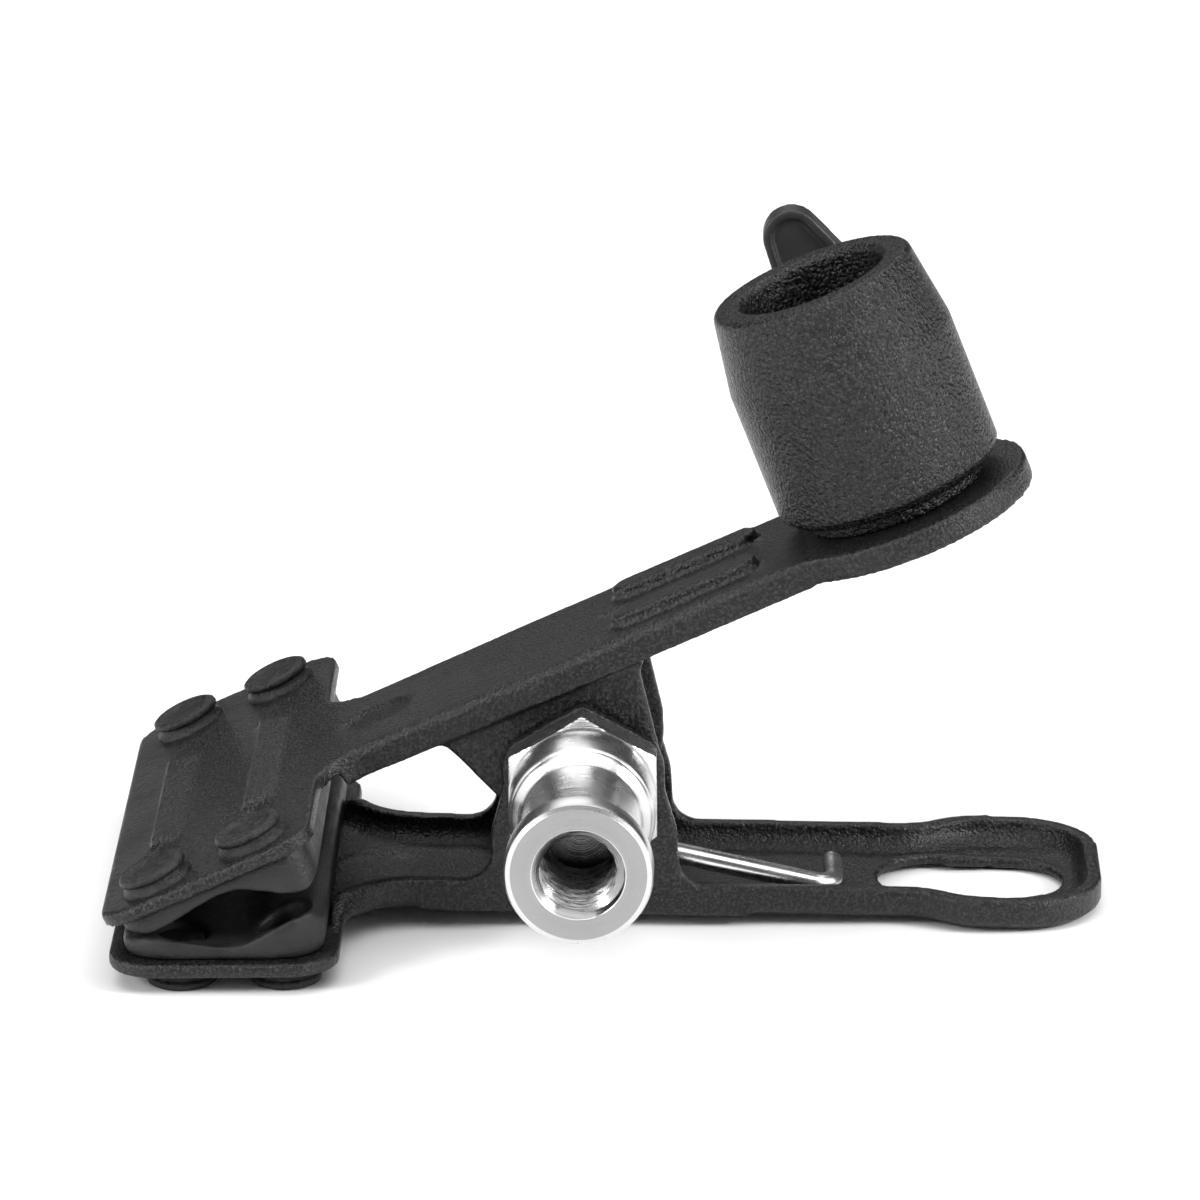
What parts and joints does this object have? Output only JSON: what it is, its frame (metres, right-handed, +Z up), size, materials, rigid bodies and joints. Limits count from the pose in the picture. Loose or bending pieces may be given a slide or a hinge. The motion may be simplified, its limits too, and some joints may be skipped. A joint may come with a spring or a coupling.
{
  "type": "spring clamp",
  "caption": "Spring clamp with two padded jaws, a drilled socket on its upper arm, a threaded stud on its pivot and a hanging ring.",
  "frame": {"origin": "bottom centre of the clamp's box, on the surface that it rests on", "axes": "+X from the jaws to the handles, +Y away from the stud along the pivot, +Z up"},
  "size_m": [0.1082, 0.0702, 0.0742],
  "materials": {
    "cast_black": "black powder coat on die casting, fine grain",
    "pad_rubber": "matt moulded rubber",
    "rivet_black": "matt moulded plastic",
    "socket_black": "coarse leather grain",
    "wing_black": "satin moulded plastic",
    "stud_aluminium": "bright turned",
    "spring_steel": "zinc plated wire",
    "bolt_black": "black oxide",
    "zinc_steel": "zinc plated",
    "brass": "turned"
  },
  "bodies": {
    "lower_arm": {"lower_jaw": "cast_black", "lower_pad": "pad_rubber", "lower_rivet_1": "rivet_black", "lower_rivet_2": "rivet_black", "lower_rivet_3": "rivet_black", "lower_rivet_4": "rivet_black", "pivot_sleeve": "zinc_steel", "pivot_bolt": "bolt_black", "pivot_washer": "zinc_steel", "stud": "stud_aluminium", "torsion_spring": "spring_steel"},
    "upper_arm": {"upper_jaw": "cast_black", "upper_pad": "pad_rubber", "upper_rivet_1": "rivet_black", "upper_rivet_2": "rivet_black", "upper_rivet_3": "rivet_black", "upper_rivet_4": "rivet_black", "socket": "socket_black", "socket_screw": "bolt_black", "socket_washer": "zinc_steel", "thread_insert": "brass"},
    "tip": {"screw_tip": "brass"},
    "wing": {"wing_screw": "zinc_steel", "wing_head": "wing_black"}
  },
  "joints": [
    {"name": "jaw_hinge", "type": "hinge", "parent": "lower_arm", "child": "upper_arm", "pos_m": [-0.0025, 0.0039, 0.0164], "axis": [0, 1, 0], "range_deg": [0, 44], "stiffness_Nm_per_rad": 2, "springref_deg": -51.57, "deforming": ["torsion_spring"]},
    {"name": "screw_feed", "type": "slide", "parent": "upper_arm", "child": "tip", "axis": [0, -1, 0], "range_m": [-0.00105, 0.00155]},
    {"name": "wing_turn", "type": "hinge", "parent": "tip", "child": "wing", "pos_m": [0.02688, 0.0039, 0.05872], "axis": [0, -1, 0], "range_deg": [-360, 540]}
  ],
  "couplings": [
    {"joint": "screw_feed", "follows": "wing_turn", "m_per_rad": 0.00015915}
  ]
}
